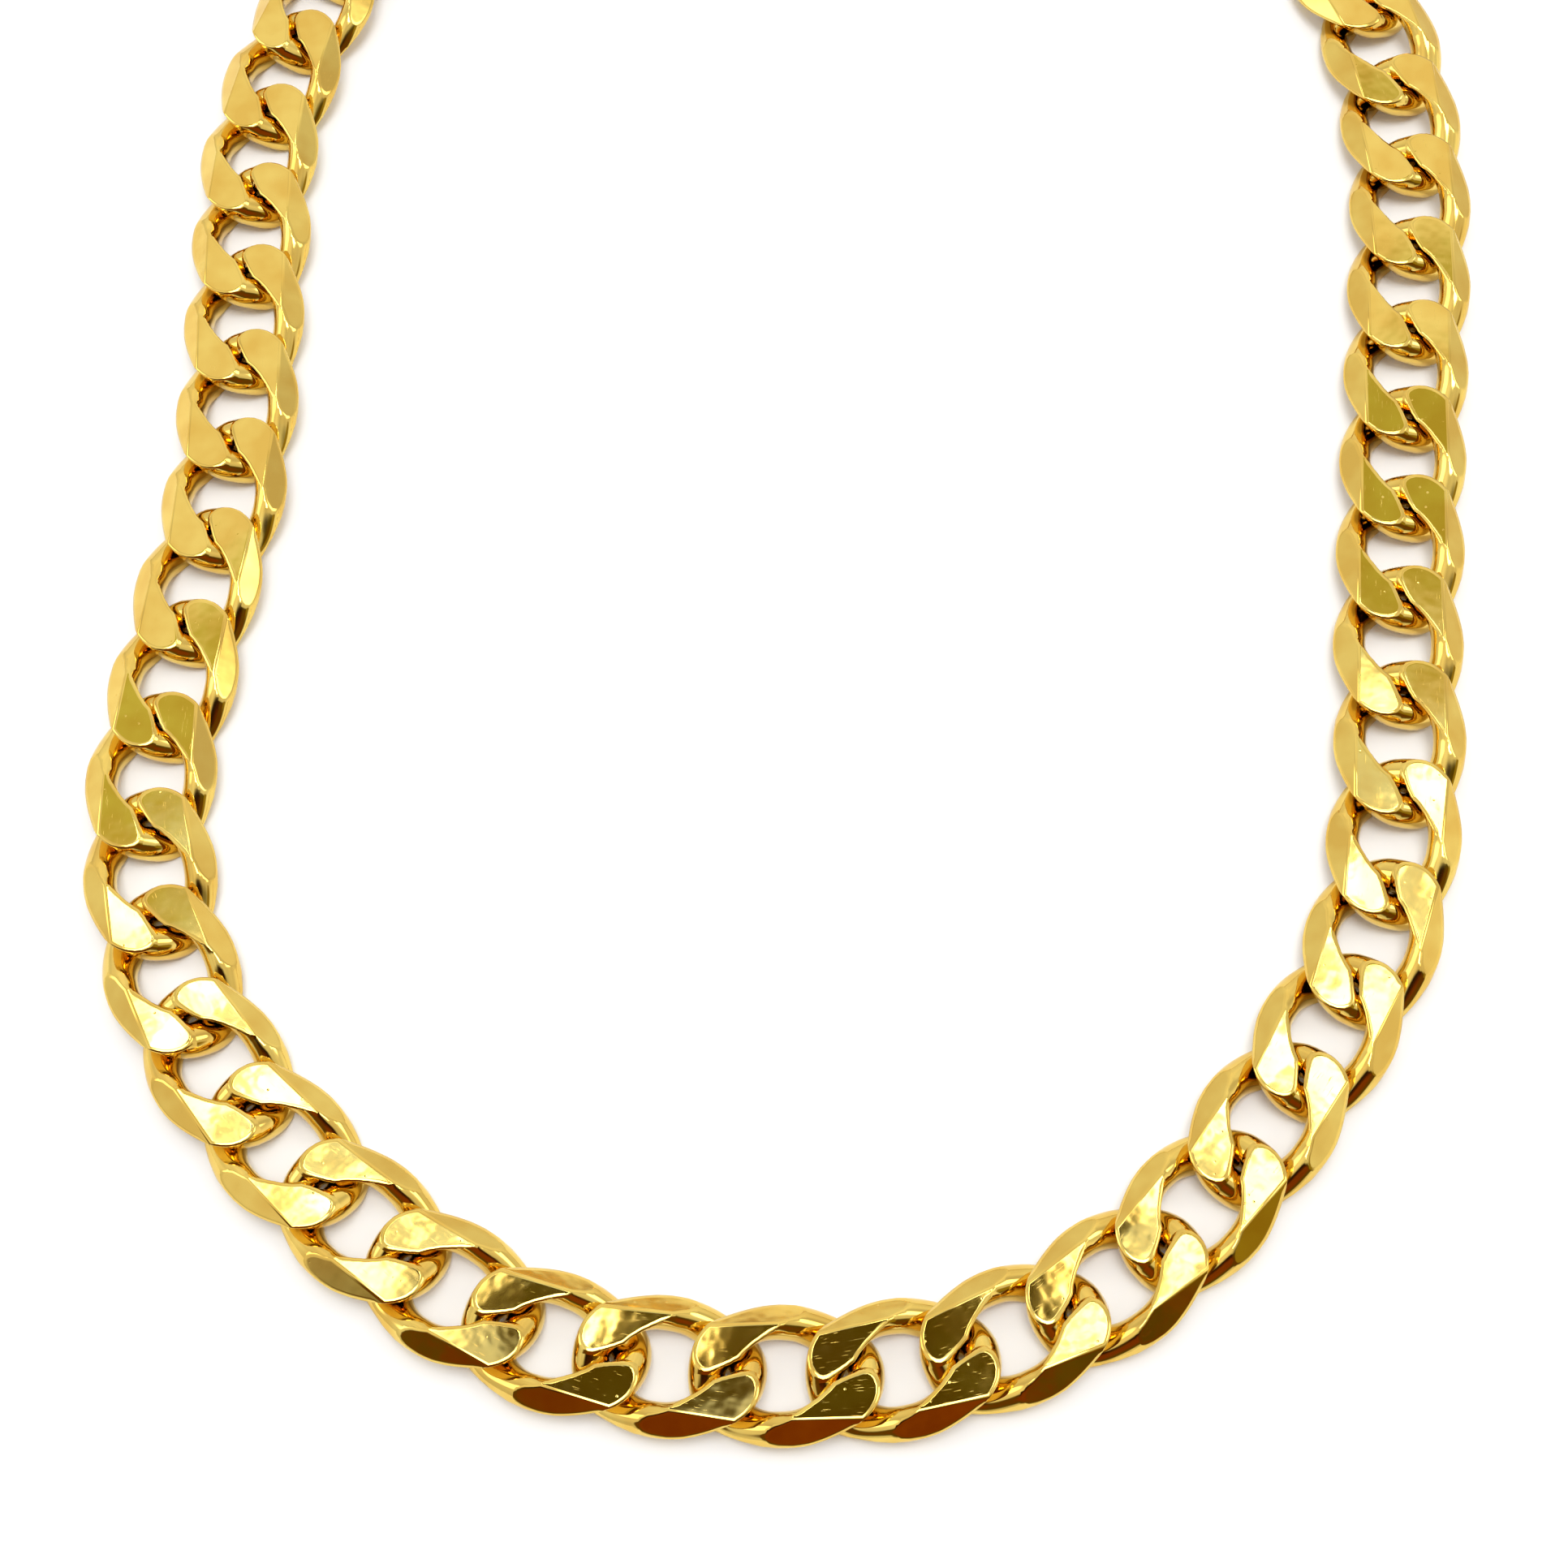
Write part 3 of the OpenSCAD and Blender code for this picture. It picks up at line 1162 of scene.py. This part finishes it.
@dataclass
class Studio:
    """The floor, the soft light round it and the camera. Lengths are millimetres."""

    lens: float = 60.0
    sensor: float = 36.0
    tilt_deg: float = 23.044
    roll_deg: float = 1.394
    distance: float = 246.931
    target: tuple[float, float, float] = (-3.311, -35.393, 1.7)
    floor_size: float = 8000.0
    # Paper's fibres are too fine to show, so the grain is drawn about 1 mm coarse.
    grain_per_mm: float = 0.9
    grain_height: float = 0.01
    # The walls' brightness in their dark and their light clouds.
    surround: tuple[float, float] = (0.72, 1.16)
    # How many clouds, and how many blotches, a unit of direction holds.
    clouds: float = 1.6
    blotches: float = 50.0
    cards: tuple[StudioCard, ...] = (
        # Pale walls beyond the lamp, with olive spots, which the sides' flats see.
        StudioCard(118, 52, 13, 15, "#FFFFFF", 1.06, 0.4),
        StudioCard(77, 56, 6, 10, "#FFFFFF", 1.1, 0.4),
        StudioCard(117, 63, 6, 3.5, "#D3D68F", 1.0, 0.3),
        StudioCard(75, 60, 3, 4, "#C5C576", 1.0, 0.3),
        # The lamp overhead, which only the round wire and the floor see.
        StudioCard(-90, 88, 15, 13, "#FFFFFF", 8.0, 0.15),
        # Cool panel beyond it, which the flats near the front see.
        StudioCard(89, 71, 12, 6.5, "#CCDBFF", 1.45, 0.2),
        # Two patchy lamps in it: they burn out parts of the flats on both sides.
        StudioCard(107, 69.5, 4.2, 3.6, "#FFFFFF", 9.0, 0.25, 0.48),
        StudioCard(70, 70, 4.2, 4.2, "#FFFFFF", 9.0, 0.25, 0.51),
        # The dark spot between them, which the flats of the front see.
        StudioCard(90, 71.9, 3.5, 3.2, "#564B00", 1.0, 0.09),
        # Side lamps, which whiten the round wire where it dips.
        StudioCard(10, 44, 10, 12, "#FFFFFF", 3.5, 0.25),
        StudioCard(170, 34, 12, 16, "#FFFFFF", 2.5, 0.25),
        # Dark cards on the camera's side: olive, then browns with red-brown patches.
        StudioCard(-88, 36, 54, 26, "#57520E", 1.0, 0.2),
        StudioCard(-100, 54, 26, 11, "#2A1806", 1.0, 0.3),
        StudioCard(-92, 38, 24, 13, "#8A4804", 1.0, 0.25),
        StudioCard(-90, 36, 50, 20, "#7A3B03", 1.0, 0.3, 0.5),
        StudioCard(-28, 29, 9, 9, "#9C8A30", 1.0, 0.4),
    )

    def build(self) -> None:
        """Makes the floor, the light and the camera."""
        self._floor()
        self._light()
        self._camera()
        bpy.context.scene.view_settings.view_transform = "Standard"
        LOG.info("studio: floor, light with %d cards, camera", len(self.cards))

    def _floor(self) -> None:
        """Lays the plain pale floor."""
        bm = bmesh.new()
        half = self.floor_size * MM / 2
        bmesh.ops.create_grid(bm, x_segments=8, y_segments=8, size=half)
        mesh = bpy.data.meshes.new("studio_floor")
        bm.to_mesh(mesh)
        bm.free()
        # Plain and matt, a little cool, with a grain that hardly shows.
        paper = bpy.data.materials.new("matt white card")
        paper.use_nodes = True
        tree = paper.node_tree
        tree.nodes.clear()
        place = add_node(tree, "ShaderNodeTexCoord").outputs["Object"]
        grain = add_noise(tree, place, self.grain_per_mm / MM, detail=4.0)
        rise = {"Height": grain, "Distance": self.grain_height * MM}
        bump = add_node(tree, "ShaderNodeBump", rise)
        shader = add_node(
            tree,
            "ShaderNodeBsdfPrincipled",
            {
                "Base Color": linear("#F1F3F5"),
                "Roughness": 0.85,
                "Specular IOR Level": 0.1,
                "Emission Color": linear("#FFFFFF"),
                "Emission Strength": 0.05,
                "Normal": bump.outputs[0],
            },
        )
        add_node(tree, "ShaderNodeOutputMaterial", {"Surface": shader.outputs[0]})
        mesh.materials.append(paper)
        floor = bpy.data.objects.new("studio_floor", mesh)
        bpy.context.scene.collection.objects.link(floor)

    def _light(self) -> None:
        """Makes the soft surround, with each card mixed over it."""
        world = bpy.data.worlds.new("soft studio")
        bpy.context.scene.world = world
        world.use_nodes = True
        tree = world.node_tree
        tree.nodes.clear()
        direction = add_node(tree, "ShaderNodeTexCoord").outputs["Generated"]
        clouds = add_noise(tree, direction, self.clouds, detail=1.0)
        blotches = add_noise(tree, direction, self.blotches, detail=3.0)
        colour = add_range(tree, clouds, 0.3, 0.7, to=self.surround)
        for card in self.cards:
            share = card.share(tree, direction, blotches)
            colour = add_mix(tree, share, colour, card.glow())
        background = add_node(tree, "ShaderNodeBackground", {"Color": colour})
        add_node(tree, "ShaderNodeOutputWorld", {"Surface": background.outputs[0]})

    def _camera(self) -> None:
        """Places the camera at the photo's angle."""
        tilt, roll = math.radians(self.tilt_deg), math.radians(self.roll_deg)
        back = Vector((0.0, -math.sin(tilt), math.cos(tilt)))
        right = Vector((1.0, 0.0, 0.0))
        above = Vector((0.0, math.cos(tilt), math.sin(tilt)))
        right, above = (
            right * math.cos(roll) - above * math.sin(roll),
            right * math.sin(roll) + above * math.cos(roll),
        )
        lens = bpy.data.cameras.new("photo_view")
        lens.lens = self.lens
        lens.sensor_width = self.sensor
        lens.clip_start, lens.clip_end = 0.01, 20.0
        camera = bpy.data.objects.new("photo_view", lens)
        place = Matrix((right, above, back)).transposed().to_4x4()
        place.translation = (Vector(self.target) + back * self.distance) * MM
        camera.matrix_world = place
        bpy.context.scene.collection.objects.link(camera)
        bpy.context.scene.camera = camera


def main() -> None:
    """Builds the necklace's pieces in order."""
    logging.basicConfig(level=logging.INFO, format="%(message)s")
    Studio().build()
    finishes = [
        # Drawn wire, tumbled bright: a clean mirror with hard dark and white streaks.
        GoldFinish("gold_plated_wire_tumbled", roughness=0.06).material(),
        # Ground face, lapped and buffed: a mirror with fine scratches and small pits.
        GoldFinish(
            "gold_plated_face_lapped",
            roughness=0.035,
            haze_roughness=0.01,
            scratch_roughness=0.25,
            scratch_depth=0.0001,
            wave_height=0.013,
            pit_depth=0.006,
        ).material(),
        # Bevel, diamond cut: the brightest and flattest surface, with a few fine lines.
        GoldFinish(
            "gold_plated_bevel_cut",
            scratch_roughness=0.15,
            scratch_width=0.05,
            scratch_length=1.0,
            scratch_depth=0.0001,
            wave_height=0.014,
            pit_depth=0.004,
        ).material(),
    ]
    ChainHalf("chain_left", "left_links", 1, -1, 11).build(finishes)
    ChainHalf("chain_right", "right_links", 24, 1, 12).build(finishes)
    BoxClasp().build(finishes)


if __name__ == "__main__":
    main()
